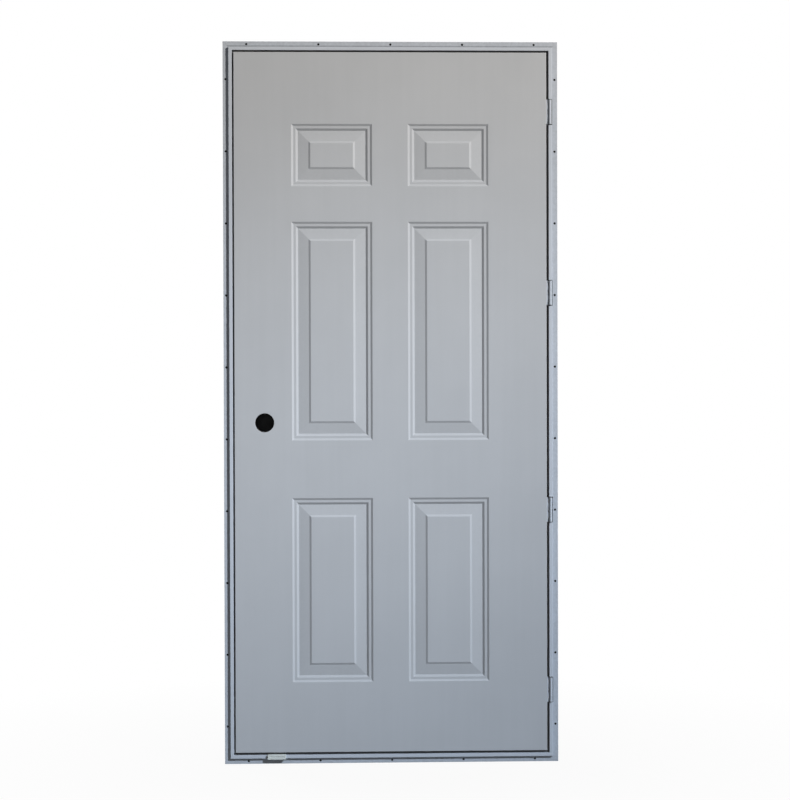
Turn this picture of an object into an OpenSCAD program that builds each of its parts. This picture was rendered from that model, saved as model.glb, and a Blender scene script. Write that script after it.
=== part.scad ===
// Six-panel entrance door that opens outwards, hung in a mitred frame with a screw fin.
// The weather side faces -Y, the room is at +Y and the wall plane is y = 0.
// The origin is the middle of the frame's bottom edge on the wall plane.

/* [Frame] */
// Width over the fixing fins
overall_w = 950; // [800:1:1100]
// Height over the fixing fins
overall_h = 2050; // [1850:1:2300]
// Width of the flat fin outside the rib
fin_w = 16; // [14:0.5:24]
// Width of the raised rib beside the leaf
rib_w = 9.9; // [9:0.1:14]
// Height of the rib above the fin
rib_h = 8.4; // [7:0.1:12]
// Wall thickness of the extrusions
wall = 1.6; // [1.2:0.1:2]
// Depth of the jamb box behind the wall plane
box_d = 60; // [50:1:120]
// Clearance between the leaf's body and the jamb box on the lock side
body_clear = 3.7; // [3:0.1:5]
// Rounding of the extrusions' outer corners
rib_round = 1; // [0.4:0.1:1.4]

/* [Fixing holes] */
// Diameter of the punched fixing holes
fin_hole_d = 6.6; // [4:0.1:8]
// Distance of the holes from the fin's outer edge
hole_inset = 8; // [6:0.5:10]
// Spacing of the holes along the fins
hole_pitch = 204; // [150:0.1:300]
// Least distance of the first hole from a corner
hole_margin = 50; // [40:1:100]

/* [Leaf] */
// Thickness of the leaf
leaf_t = 44; // [38:0.5:50]
// Width of the lip that laps the frame
lip_w = 15.3; // [14:0.1:18]
// Thickness of the lip
lip_t = 5.5; // [5:0.1:6.5]
// Thickness of the pressed steel skins
skin_t = 0.6; // [0.5:0.1:1]
// Bending radius along the edges of the skins
fold_r = 1.6; // [1.2:0.1:2]
// How far the leaf's face stands in front of the rib
face_proud = 1.5; // [0:0.1:3]
// Gap between the leaf and the rib on the lock side
gap_latch = 4.4; // [4:0.1:8]
// Gap between the leaf and the rib on the hinge side
gap_hinge = 6.5; // [6:0.1:9]
// Gap between the leaf and the rib at the head
gap_head = 5.3; // [4:0.1:8]
// Gap between the leaf and the rib at the sill
gap_sill = 7.1; // [4:0.1:9]
// Width of the timber edges behind the lip
stile_w = 38; // [30:1:60]
// Glue line between the skins and what they cover
bond = 0.1; // [0.05:0.05:0.3]
// Depth of the inner skin's folded edge
inner_fold = 5; // [4:0.5:8]

/* [Panels] */
// Plain width beside the panels on the lock side
latch_margin = 162.9; // [140:0.1:180]
// Plain width beside the panels on the hinge side
hinge_margin = 165.5; // [140:0.1:180]
// Plain width between the two columns of panels
mullion = 101.4; // [80:0.1:120]
// Plain height above the top panels
top_margin = 203.1; // [150:0.1:230]
// Height of the top panels
top_panel_h = 176; // [150:0.1:240]
// Plain height between the top and the middle panels
cross_margin = 100.9; // [80:0.1:130]
// Plain height between the middle and the low panels
lock_margin = 164; // [120:0.1:200]
// Height of the low panels
low_panel_h = 522.8; // [400:0.1:600]
// Plain height below the low panels
bottom_margin = 199.8; // [150:0.1:230]

/* [Moulding] */
// Width of the outer step of a panel's moulding
outer_step_w = 5.5; // [4:0.1:8]
// Depth of the outer step
outer_step_d = 3.5; // [2:0.1:5]
// Width of the flat bead inside the outer step
bead_w = 7; // [5:0.1:10]
// Width of the inner step
inner_step_w = 6; // [4:0.1:9]
// Depth of the inner step
inner_step_d = 4.3; // [2:0.1:5]
// Width of the bevel that rises to the field
bevel_w = 30; // [20:0.1:36]
// Rise of the bevel
bevel_rise = 3.6; // [2:0.1:4]
// Width of the step up to the raised field
field_step_w = 5.5; // [4:0.1:8]
// Rise of the step up to the field
field_step_rise = 3; // [1:0.1:3.5]
// Bending radius in the moulding
moulding_r = 2; // [1:0.1:2.5]

/* [Lock] */
// Height of the lock hole above the leaf's bottom edge
lock_height = 936.9; // [850:0.1:1000]
// Distance of the lock hole from the edge of the leaf's body
backset = 70.2; // [66:0.1:74]
// Diameter of the lock hole
lock_bore_d = 54; // [48:0.1:56]
// Diameter of the latch hole in the leaf's edge
latch_bore_d = 25.4; // [22:0.1:26]
// Width of the latch face's recess
latch_face_w = 25.4; // [22:0.1:27]
// Height of the latch face's recess
latch_face_h = 57; // [50:0.5:70]
// Depth of the latch face's recess
latch_face_t = 2.5; // [1.5:0.1:4]
// Width of the lock block
block_w = 72; // [66:1:90]
// Height of the lock block
block_h = 250; // [150:1:350]
// Diameter of the disc that closes the lock hole
cover_d = 66; // [60:1:72]
// Thickness of that disc
cover_t = 1.2; // [0.8:0.1:2]
// Height of the strike slot in the jamb
strike_h = 32; // [26:1:40]
// Width of the strike slot in the jamb
strike_w = 16; // [12:0.5:20]

/* [Hinges] */
// Height of a hinge
hinge_h = 69; // [60:1:90]
// Distance of the top hinge's middle from the frame's top
hinge_top = 199; // [150:0.5:300]
// Distance of the lowest hinge's middle from the frame's bottom
hinge_bottom = 206; // [150:0.5:300]
// Distance from an outer hinge to the next one
hinge_step = 513.8; // [400:0.1:550]
// Diameter of the hinge barrel
barrel_d = 7.8; // [7:0.1:8.4]
// Diameter of the hinge pin
pin_d = 4; // [3:0.1:4.4]
// Running clearance round the pin
pin_clear = 0.05; // [0.02:0.01:0.1]
// Thickness of the hinge leaves
hinge_t = 2; // [1.6:0.1:2.4]
// Distance of the pin's axis from the fin's inner edge
pin_inset = 5.5; // [5:0.1:6]
// How far the pin's axis stands in front of the leaf's face
pin_proud = 1; // [0.5:0.1:2]
// Gap between two knuckles
knuckle_gap = 0.4; // [0.3:0.1:1]
// Gap between the ends of a hinge and its notch in the rib
notch_gap = 2.2; // [0.5:0.1:3]
// How far a notch reaches past the rib into the fin
notch_side = 1.6; // [0.5:0.1:3]
// Width of the moving leaf's wing beside the lip
wing_w = 2.7; // [2.5:0.1:4]
// Depth of the moving leaf's plate along the edge of the body
plate_d = 26; // [20:1:28]

/* [Screws] */
// Distance of the outer screws from a hinge's middle
screw_spread = 24; // [18:1:28]
// Shank diameter of the screws
screw_d = 3.6; // [3:0.1:4.2]
// Head diameter of the screws
screw_head_d = 7; // [6:0.1:7.6]
// Length of the screws in the moving leaves
wood_screw_l = 28; // [20:1:35]
// Length of the screws in the fixed leaves
frame_screw_l = 14; // [8:1:25]
// Length of the corner screws
corner_screw_l = 8; // [6:0.5:9]
// Clearance round a screw
screw_clear = 0.05; // [0.02:0.01:0.2]

/* [Corner keys] */
// Length of a corner key's arm
key_arm = 90; // [60:1:140]
// Thickness of a corner key
key_t = 8; // [6:0.5:12]
// Depth of a corner key
key_d = 18; // [12:1:24]
// Clearance of a corner key in the jamb box
key_clear = 0.1; // [0.05:0.05:0.3]
// Distance of a corner screw from the corner's inside
key_screw_reach = 35; // [25:1:45]

/* [Seals] */
// Width of the kerf that holds a seal
kerf_w = 1.8; // [1.4:0.1:2.4]
// Distance of the kerf's middle from the inside of the jamb box
kerf_inset = 3.8; // [3.4:0.1:4.4]
// Thickness of the seal's flap
flap_t = 0.8; // [0.6:0.1:1.2]
// Wall thickness of the hollow bulb
bulb_wall = 0.6; // [0.4:0.1:0.9]
// Clearance between a seal and its neighbours
seal_clear = 0.3; // [0.2:0.05:0.5]

/* [Sill clip] */
// Width of the clip
clip_w = 52; // [40:1:70]
// Distance of the clip's middle from the frame's edge on the lock side
clip_inset = 147; // [100:1:300]
// Thickness of the clip
clip_t = 1.9; // [1.5:0.1:2.4]
// Thickness of the clip's front
clip_front = 3; // [2:0.1:5]
// Clearance of the clip round the rib
clip_clear = 0.15; // [0.05:0.05:0.3]

/* [Hidden] */
$fn = 64;

paint_colour = "#b4b8bc";
frame_colour = "#bcc1c6";
seal_colour = "#1d1e20";
wood_colour = "#b08a5e";
foam_colour = "#d8c98f";
steel_colour = "#8f9499";
clip_colour = "#d9d8c8";
cover_colour = "#141414";

// Over-length of a cutting shape, so that it passes clean through a wall
over = 2;
// Straight steps in a quarter of a small bend
bend_steps = 3;
// The four sides of a rectangular ring
LEFT = 0;
RIGHT = 1;
BOTTOM = 2;
TOP = 3;

// Depths, measured from the wall plane towards the room
rib_y = -wall - rib_h;
face_y = rib_y - face_proud;
back_y = face_y + leaf_t;
lip_y = face_y + lip_t;
pin_y = face_y - pin_proud;

// Distances from the fin's outer edge towards the middle of the opening
rib_end = fin_w + rib_w;
box_end = rib_end + gap_latch + lip_w - body_clear;
pin_u = fin_w + pin_inset;
kerf_u = box_end - kerf_inset;
// The seal's bulb fills the space behind the lip
bulb_r = (-wall - lip_y - seal_clear) / 2;

// The leaf's face
leaf_w = overall_w - 2 * rib_end - gap_latch - gap_hinge;
leaf_h = overall_h - 2 * rib_end - gap_head - gap_sill;
leaf_x = -overall_w / 2 + rib_end + gap_latch;
leaf_z = rib_end + gap_sill;
body_w = leaf_w - 2 * lip_w;
body_h = leaf_h - 2 * lip_w;
// Edge of the timber body, from the leaf's edge
timber_u = lip_w + skin_t + bond;
// Inside of the timber edges, from the leaf's edge
core_u = timber_u + stile_w;
outer_fold = lip_t - hinge_t - seal_clear;

// Panels as [x, z, width, height] from the leaf's lower lock-side corner
panel_w = (leaf_w - latch_margin - hinge_margin - mullion) / 2;
panel_columns = [latch_margin, leaf_w - hinge_margin - panel_w];
mid_panel_h = leaf_h - top_margin - top_panel_h - cross_margin - lock_margin - low_panel_h - bottom_margin;
mid_panel_z = bottom_margin + low_panel_h + lock_margin;
panel_rows = [
    [bottom_margin, low_panel_h],
    [mid_panel_z, mid_panel_h],
    [mid_panel_z + mid_panel_h + cross_margin, top_panel_h]
];
panels = [for (x = panel_columns, row = panel_rows) [x, row[0], panel_w, row[1]]];

// The moulding, from a panel's edge towards its middle and from the plain face backwards
groove_u = outer_step_w + bead_w + inner_step_w;
groove_d = outer_step_d + inner_step_d;
rise_u = groove_u + bevel_w;
rise_d = groove_d - bevel_rise;
field_u = rise_u + field_step_w;
field_d = rise_d - field_step_rise;
// Flat stretch that takes the first or the last bend of the moulding
rim = 2 * moulding_r;

// Lock and latch
lock_x = leaf_x + lip_w + backset;
lock_z = leaf_z + lock_height;
latch_y = (lip_y + back_y - inner_fold) / 2;

// Hinges, numbered from the top
pin_x = overall_w / 2 - pin_u;
barrel_r = barrel_d / 2;
knuckles = 5;
knuckle_step = hinge_h / knuckles;
hinge_heights = [
    overall_h - hinge_top,
    overall_h - hinge_top - hinge_step,
    hinge_bottom + hinge_step,
    hinge_bottom
];
screw_offsets = [-screw_spread, 0, screw_spread];
// The fixed leaf's foot lies between the notch and the seal
foot_start = pin_u - barrel_r;
foot_end = kerf_u - bulb_r - 2 * seal_clear;
foot_screw_u = (pin_u + barrel_r + foot_end) / 2;
foot_y = -wall - hinge_t;
plate_y = (lip_y + lip_y + plate_d) / 2;

// Corner keys
key_outer = box_end - wall - key_clear - key_t;
key_y = box_d - wall - key_d;

function unit(v) = v / norm(v);
function spot(p) = [p[0], p[1]];

// Points of the bend of radius r that rounds the corner b between a and c
function bend(a, b, c, r) =
    let (
        back = unit(a - b),
        ahead = unit(c - b),
        half = acos(back * ahead) / 2,
        centre = b + unit(back + ahead) * r / sin(half),
        start = b + back * r / tan(half) - centre,
        stop = b + ahead * r / tan(half) - centre,
        sweep = 180 - 2 * half
    )
    [for (k = [0:bend_steps])
        centre + (start * sin(sweep * (1 - k / bend_steps)) + stop * sin(sweep * k / bend_steps)) / sin(sweep)];

// An outline of [u, y, bend radius] corners, with its bends drawn in
function bent(outline) =
    let (last = len(outline) - 1)
    [for (i = [0:last])
        let (
            here = spot(outline[i]),
            before = spot(outline[i == 0 ? last : i - 1]),
            after = spot(outline[i == last ? 0 : i + 1]),
            r = outline[i][2]
        )
        each (r == 0 ? [here] : bend(before, here, after, r))];

function shifted(outline, by) = [for (p = outline) [p[0], p[1] + by]];
function reversed(list) = [for (i = [len(list) - 1:-1:0]) list[i]];

// A half outline and its mirror image across a width
function both_sides(half, w) = concat(half, reversed([for (p = half) [w - p[0], p[1]]]));

// The moulding's way down from the plain face to its groove
drop_line = bent([
    [-rim, 0, 0],
    [0, 0, moulding_r],
    [outer_step_w, outer_step_d, moulding_r],
    [outer_step_w + bead_w, outer_step_d, moulding_r],
    [groove_u, groove_d, moulding_r],
    [groove_u + rim, groove_d, 0]
]);
// The moulding's way up from the groove to the raised field
rise_line = bent([
    [groove_u, groove_d, 0],
    [rise_u, rise_d, moulding_r],
    [field_u, field_d, moulding_r],
    [field_u + rim, field_d, 0]
]);

// A length of profile along Z with its ends mitred. The profile's x is the distance
// inwards and its y is the depth.
module mitred_run(length, reach) {
    intersection() {
        linear_extrude(length) children();
        rotate([90, 0, 0])
            linear_extrude(4 * leaf_t + 2 * box_d, center = true)
                polygon([[0, 0], [reach, reach], [reach, length - reach], [0, length]]);
    }
}

// One side of a ring of that profile round a w by h rectangle in the XZ plane
module ring_side(side, w, h, reach) {
    if (side == LEFT) mitred_run(h, reach) children();
    if (side == RIGHT) translate([w, 0, 0]) mirror([1, 0, 0]) mitred_run(h, reach) children();
    if (side == BOTTOM) mirror([1, 0, -1]) mitred_run(w, reach) children();
    if (side == TOP) translate([0, 0, h]) mirror([0, 0, 1]) mirror([1, 0, -1]) mitred_run(w, reach) children();
}

// A w by h block whose outline follows a half outline inwards from all four edges. Two
// crossed runs share it, so its corners are mitred.
module crossed(half, w, h) {
    spill = rim + over;
    intersection() {
        translate([0, 0, -spill])
            linear_extrude(h + 2 * spill) polygon(both_sides(half, w));
        mirror([1, 0, -1])
            translate([0, 0, -spill])
                linear_extrude(w + 2 * spill) polygon(both_sides(half, h));
    }
}

module on_frame() {
    translate([-overall_w / 2, 0, 0]) children();
}

module on_leaf() {
    translate([leaf_x, 0, leaf_z]) children();
}

// A profile drawn from the hinge-side fin's outer edge, extruded upwards from its middle
module at_hinge_side(height) {
    translate([overall_w / 2, 0, 0])
        mirror([1, 0, 0])
            linear_extrude(height, center = true) children();
}

// Countersunk screw along +Z with its head's top at the origin, grown all round by a clearance
module screw(length, clearance = 0) {
    head_r = screw_head_d / 2 + clearance;
    shank_r = screw_d / 2 + clearance;
    head_h = head_r - shank_r;
    rotate_extrude()
        polygon([
            [0, 0],
            [head_r, 0],
            [shank_r, head_h],
            [shank_r, length - screw_d + clearance],
            [0, length + clearance]
        ]);
}

// Cross-section of the frame's extrusions: fin, hollow rib and hollow jamb box
module frame_section() {
    difference() {
        polygon(bent([
            [0, 0, 0],
            [0, -wall, rib_round / 2],
            [fin_w, -wall, rib_round / 2],
            [fin_w, rib_y, rib_round],
            [rib_end, rib_y, rib_round],
            [rib_end, -wall, rib_round / 2],
            [box_end, -wall, rib_round],
            [box_end, box_d, rib_round],
            [fin_w, box_d, rib_round],
            [fin_w, 0, 0]
        ]));
        translate([fin_w + wall, rib_y + wall])
            square([rib_w - 2 * wall, rib_h - wall]);
        translate([fin_w + wall, 0])
            square([box_end - fin_w - 2 * wall, box_d - wall]);
        translate([kerf_u - kerf_w / 2, -wall - over])
            square([kerf_w, wall + 2 * over]);
    }
}

function hole_count(length) = floor((length - 2 * hole_margin) / hole_pitch) + 1;
function hole_places(length) =
    let (count = hole_count(length))
    [for (i = [0:count - 1]) (i - (count - 1) / 2) * hole_pitch];

module fin_hole(x, z) {
    translate([x, -wall - over, z])
        rotate([-90, 0, 0])
            cylinder(d = fin_hole_d, h = wall + 2 * over);
}

module jamb_holes(side) {
    for (z = hole_places(overall_h))
        fin_hole(side * (overall_w / 2 - hole_inset), overall_h / 2 + z);
}

module end_holes(z) {
    for (x = hole_places(overall_w)) fin_hole(x, z);
}

// Places a shape in each of the eight corner screws' seats
module at_corner_screws() {
    reach = box_end + key_screw_reach;
    screw_y = key_y + key_d / 2;
    for (side = [0, 1], end = [0, 1])
        translate([0, 0, end * overall_h])
            mirror([0, 0, end])
                mirror([side, 0, 0])
                    on_frame() {
                        translate([box_end, screw_y, reach]) rotate([0, -90, 0]) children();
                        translate([reach, screw_y, box_end]) rotate([180, 0, 0]) children();
                    }
}

module frame_side(side) {
    difference() {
        on_frame() ring_side(side, overall_w, overall_h, box_end) frame_section();
        at_corner_screws() screw(corner_screw_l, screw_clear);
    }
}

module frame_head() {
    color(frame_colour)
        difference() {
            frame_side(TOP);
            end_holes(overall_h - hole_inset);
        }
}

module frame_sill() {
    color(frame_colour)
        difference() {
            frame_side(BOTTOM);
            end_holes(hole_inset);
        }
}

module latch_jamb() {
    color(frame_colour)
        difference() {
            frame_side(LEFT);
            jamb_holes(-1);
            on_frame()
                translate([box_end - wall - over, latch_y - strike_w / 2, lock_z - strike_h / 2])
                    cube([wall + 2 * over, strike_w, strike_h]);
        }
}

module hinge_notch() {
    at_hinge_side(hinge_h + 2 * notch_gap) {
        translate([fin_w, rib_y - over]) square([rib_w + over, rib_h + over]);
        translate([fin_w - notch_side, -wall - over]) square([notch_side, wall + 2 * over]);
    }
}

module hinge_jamb() {
    color(frame_colour)
        difference() {
            frame_side(RIGHT);
            jamb_holes(1);
            for (z = hinge_heights) translate([0, 0, z]) hinge_notch();
            at_frame_screws() screw(frame_screw_l, screw_clear);
        }
}

// Corner key: an angle that fills the insides of two mitred boxes
module corner_key(side, end) {
    color(steel_colour)
        difference() {
            translate([0, 0, end * overall_h])
                mirror([0, 0, end])
                    mirror([side, 0, 0])
                        on_frame()
                            translate([key_outer, key_y + key_d - key_clear, key_outer])
                                rotate([90, 0, 0])
                                    linear_extrude(key_d - key_clear)
                                        polygon([
                                            [0, 0],
                                            [key_arm, 0],
                                            [key_arm, key_t],
                                            [key_t, key_t],
                                            [key_t, key_arm],
                                            [0, key_arm]
                                        ]);
            at_corner_screws() screw(corner_screw_l, screw_clear);
        }
}

module corner_screws() {
    color(steel_colour) at_corner_screws() screw(corner_screw_l);
}

// Cross-section of a seal: a flap on the rebate, a hollow bulb and a barb in the kerf
module seal_section() {
    barb_w = kerf_w / 2 - bond;
    difference() {
        union() {
            translate([rib_end + rib_round / 2 + seal_clear, -wall - flap_t])
                square([box_end - rib_end - 1.5 * rib_round - 2 * seal_clear, flap_t]);
            translate([kerf_u, -wall - bulb_r]) circle(bulb_r);
            polygon([
                [kerf_u - barb_w, -wall - flap_t],
                [kerf_u + barb_w, -wall - flap_t],
                [kerf_u + barb_w, bond],
                [kerf_u + kerf_w, bond],
                [kerf_u + barb_w, kerf_w],
                [kerf_u - barb_w, kerf_w],
                [kerf_u - kerf_w, bond],
                [kerf_u - barb_w, bond]
            ]);
        }
        translate([kerf_u, -wall - bulb_r]) circle(bulb_r - bulb_wall);
    }
}

module seal(side) {
    color(seal_colour)
        difference() {
            on_frame() ring_side(side, overall_w, overall_h, box_end) seal_section();
            if (side == RIGHT)
                for (z = hinge_heights)
                    translate([0, 0, z])
                        at_hinge_side(hinge_h + 2 * notch_gap)
                            translate([0, foot_y - over])
                                square([foot_end + seal_clear, hinge_t + over]);
        }
}

// The barrel's section round the pin, in the hinge side's own coordinates
module barrel_section() {
    difference() {
        union() {
            translate([pin_u, pin_y]) circle(barrel_r);
            children();
        }
        translate([pin_u, pin_y]) circle(pin_d / 2 + pin_clear);
    }
}

// Places a section at the knuckles from a first one on, two steps apart
module at_knuckles(first) {
    for (k = [first:2:knuckles - 1])
        translate([0, 0, (k + 0.5) * knuckle_step - hinge_h / 2])
            at_hinge_side(knuckle_step - knuckle_gap) children();
}

// Places a shape in the seats of the fixed leaves' screws
module at_frame_screws() {
    for (z = hinge_heights, offset = screw_offsets)
        translate([overall_w / 2 - foot_screw_u, foot_y, z + offset])
            rotate([-90, 0, 0]) children();
}

// Places a shape in the seats of the moving leaves' screws
module at_leaf_screws() {
    for (z = hinge_heights, offset = screw_offsets)
        translate([leaf_x + leaf_w - timber_u, plate_y, z + offset])
            rotate([0, -90, 0]) children();
}

// Fixed leaf: a foot on the rebate and a wall up to its three knuckles
module hinge_frame_leaf(i) {
    low_wall_h = foot_y - pin_y - barrel_r - knuckle_gap;
    color(frame_colour)
        difference() {
            translate([0, 0, hinge_heights[i]]) {
                at_hinge_side(hinge_h) {
                    translate([foot_start, foot_y]) square([foot_end - foot_start, hinge_t]);
                    translate([foot_start, foot_y - low_wall_h]) square([hinge_t, low_wall_h + hinge_t]);
                }
                at_knuckles(0)
                    barrel_section()
                        translate([foot_start, pin_y]) square([hinge_t, foot_y + hinge_t - pin_y]);
            }
            at_frame_screws() screw(frame_screw_l, screw_clear);
        }
}

module hinge_pin(i) {
    color(steel_colour)
        translate([pin_x, pin_y, hinge_heights[i] - hinge_h / 2])
            rotate_extrude()
                polygon([
                    [0, 0],
                    [pin_d / 2 - bond, 0],
                    [pin_d / 2, bond],
                    [pin_d / 2, hinge_h - bond],
                    [pin_d / 2 - bond, hinge_h],
                    [0, hinge_h]
                ]);
}

module hinge_frame_screws() {
    color(steel_colour) at_frame_screws() screw(frame_screw_l);
}

// Moving leaf: a wing with two knuckles, a plate that wraps the lip and a plate on the body's edge
module hinge_leaf(i) {
    edge_u = rib_end + gap_hinge;
    body_u = edge_u + timber_u;
    wing_y = pin_y + barrel_r - hinge_t;
    color(frame_colour)
        difference() {
            translate([0, 0, hinge_heights[i]]) {
                at_hinge_side(hinge_h)
                    polygon([
                        [edge_u - wing_w, wing_y],
                        [edge_u, wing_y],
                        [edge_u, lip_y - hinge_t],
                        [body_u + hinge_t, lip_y - hinge_t],
                        [body_u + hinge_t, lip_y + plate_d],
                        [body_u, lip_y + plate_d],
                        [body_u, lip_y],
                        [edge_u - hinge_t, lip_y],
                        [edge_u - hinge_t, wing_y + hinge_t],
                        [edge_u - wing_w, wing_y + hinge_t]
                    ]);
                at_knuckles(1)
                    barrel_section()
                        translate([pin_u, wing_y]) square([edge_u - pin_u, hinge_t]);
            }
            at_leaf_screws() screw(wood_screw_l, screw_clear);
        }
}

module hinge_leaf_screws() {
    color(steel_colour) at_leaf_screws() screw(wood_screw_l);
}

// Clip of plastic snapped over the sill's rib
module sill_clip() {
    inner_w = rib_w + 2 * clip_clear;
    outer_w = inner_w + 2 * clip_t;
    leg_end = -wall - flap_t - seal_clear;
    front_y = rib_y - clip_clear - clip_front;
    color(clip_colour)
        translate([clip_inset - clip_w / 2 - overall_w / 2, 0, fin_w - clip_clear - clip_t])
            rotate([90, 0, 90])
                linear_extrude(clip_w)
                    polygon(bent([
                        [leg_end, 0, 0],
                        [leg_end, clip_t, 0],
                        [rib_y - clip_clear, clip_t, 0],
                        [rib_y - clip_clear, clip_t + inner_w, 0],
                        [leg_end, clip_t + inner_w, 0],
                        [leg_end, outer_w, 0],
                        [front_y, outer_w, clip_t / 2],
                        [front_y, 0, clip_t / 2]
                    ]));
}

// The hollow of a pressed panel, sunk by a further depth and open towards y = front
module panel_hollow(w, h, sink, front) {
    difference() {
        crossed(concat([[-rim, front]], shifted(drop_line, sink)), w, h);
        crossed(concat([[groove_u, groove_d + sink + over]], shifted(rise_line, sink)), w, h);
    }
}

// The hollows of all six panels of a skin that lies inset from the leaf's edges
module panel_hollows(inset, sink, front) {
    for (p = panels)
        translate([p[0] - inset, 0, p[1] - inset]) panel_hollow(p[2], p[3], sink, front);
}

// A pressed skin with its face at y = 0 and its depth along +Y. Its edges fold back by
// fold_d, and it lies inset from the leaf's edges.
module pressed_skin(inset, fold_d) {
    w = leaf_w - 2 * inset;
    h = leaf_h - 2 * inset;
    difference() {
        union() {
            difference() {
                crossed(bent([[0, fold_d, 0], [0, 0, fold_r], [2 * fold_r, 0, 0]]), w, h);
                crossed(
                    bent([
                        [skin_t, fold_d + over, 0],
                        [skin_t, skin_t, fold_r - skin_t],
                        [2 * fold_r, skin_t, 0]
                    ]),
                    w,
                    h
                );
            }
            panel_hollows(inset, skin_t, 0);
        }
        panel_hollows(inset, 0, -over);
    }
}

module lock_bore() {
    translate([lock_x, face_y - over, lock_z])
        rotate([-90, 0, 0])
            cylinder(d = lock_bore_d, h = leaf_t + 2 * over);
}

// Latch hole and latch face's recess in the edge of the body
module latch_bore() {
    translate([leaf_x + lip_w, latch_y, lock_z]) {
        rotate([0, 90, 0]) cylinder(d = latch_bore_d, h = backset);
        translate([-over, -latch_face_w / 2, -latch_face_h / 2])
            cube([over + timber_u - lip_w + latch_face_t, latch_face_w, latch_face_h]);
    }
}

module outer_skin() {
    color(paint_colour)
        difference() {
            on_leaf() translate([0, face_y, 0]) pressed_skin(0, outer_fold);
            lock_bore();
        }
}

module inner_skin() {
    color(paint_colour)
        difference() {
            on_leaf()
                translate([lip_w, back_y, lip_w])
                    mirror([0, 1, 0]) pressed_skin(lip_w, inner_fold);
            lock_bore();
        }
}

// Rebated timber edge: the lip laps the frame, the body fills the leaf's thickness
module edge_section() {
    front = face_y + skin_t + bond;
    polygon([
        [skin_t + bond, front + fold_r],
        [skin_t + bond + fold_r, front],
        [core_u, front],
        [core_u, back_y - skin_t - bond],
        [timber_u + fold_r, back_y - skin_t - bond],
        [timber_u, back_y - skin_t - bond - fold_r],
        [timber_u, lip_y],
        [skin_t + bond, lip_y]
    ]);
}

module timber_edge(side) {
    on_leaf() ring_side(side, leaf_w, leaf_h, core_u) edge_section();
}

module latch_stile() {
    color(wood_colour)
        difference() {
            timber_edge(LEFT);
            latch_bore();
        }
}

// Seat of a moving hinge leaf in the hinge stile
module hinge_mortise() {
    lip_u = rib_end + gap_hinge;
    seat_u = lip_u + timber_u;
    at_hinge_side(hinge_h + 2 * bond) {
        translate([lip_u, lip_y - hinge_t - bond])
            square([timber_u + hinge_t + bond, hinge_t + over]);
        translate([seat_u - over, lip_y - hinge_t - bond])
            square([over + hinge_t + bond, plate_d + hinge_t + 2 * bond]);
    }
}

module hinge_stile() {
    color(wood_colour)
        difference() {
            timber_edge(RIGHT);
            for (z = hinge_heights) translate([0, 0, z]) hinge_mortise();
            at_leaf_screws() screw(wood_screw_l, screw_clear);
        }
}

module top_rail() {
    color(wood_colour) timber_edge(TOP);
}

module bottom_rail() {
    color(wood_colour) timber_edge(BOTTOM);
}

module block_space(clearance) {
    translate([
        leaf_x + core_u - clearance,
        face_y + skin_t + bond - clearance,
        lock_z - block_h / 2 - clearance
    ])
        cube([
            block_w + 2 * clearance,
            leaf_t - 2 * (skin_t + bond) + 2 * clearance,
            block_h + 2 * clearance
        ]);
}

module foam_core() {
    inset = core_u + bond;
    color(foam_colour)
        difference() {
            on_leaf()
                translate([inset, face_y + skin_t + bond, inset])
                    cube([leaf_w - 2 * inset, leaf_t - 2 * (skin_t + bond), leaf_h - 2 * inset]);
            on_leaf() translate([0, face_y, 0]) panel_hollows(0, skin_t + bond, -over);
            on_leaf() translate([0, back_y, 0]) mirror([0, 1, 0]) panel_hollows(0, skin_t + bond, -over);
            block_space(2 * bond);
        }
}

module lock_block() {
    color(wood_colour)
        difference() {
            translate([bond, 0, 0]) block_space(0);
            lock_bore();
            latch_bore();
        }
}

// Disc that closes the lock hole on the room side
module bore_cover() {
    edge = cover_t / 2;
    color(cover_colour)
        translate([lock_x, back_y, lock_z])
            rotate([-90, 0, 0])
                rotate_extrude()
                    polygon([
                        [0, 0],
                        [cover_d / 2, 0],
                        [cover_d / 2, edge],
                        [cover_d / 2 - edge, cover_t],
                        [0, cover_t]
                    ]);
}

frame_head();
frame_sill();
latch_jamb();
hinge_jamb();
corner_key(0, 1);  // head_latch_key
corner_key(1, 1);  // head_hinge_key
corner_key(0, 0);  // sill_latch_key
corner_key(1, 0);  // sill_hinge_key
corner_screws();
seal(TOP);  // seal_head
seal(BOTTOM);  // seal_sill
seal(LEFT);  // seal_latch
seal(RIGHT);  // seal_hinge
for (i = [0:3]) {
    hinge_frame_leaf(i);
    hinge_pin(i);
    hinge_leaf(i);
}
hinge_frame_screws();
sill_clip();
outer_skin();
inner_skin();
foam_core();
lock_block();
latch_stile();
hinge_stile();
top_rail();
bottom_rail();
bore_cover();
hinge_leaf_screws();
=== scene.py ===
# %% [markdown]
# # A six-panel front door in its frame
#
# The door's leaf is two thin steel skins, pressed into six raised panels each, round timber
# edges and a foam core. Four hinges hang it in a metal frame with a punched screw fin, and it
# opens outwards. The CAD model already holds every solid in metres, so this lesson dresses
# those solids: it rebuilds the pressed skins, screws and mouldings with soft bends, and gives
# each surface a finish made from nodes.

# %% Load the CAD model as a fixed frame
import math

import bmesh
import bpy
from mathutils import Matrix, Vector


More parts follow.
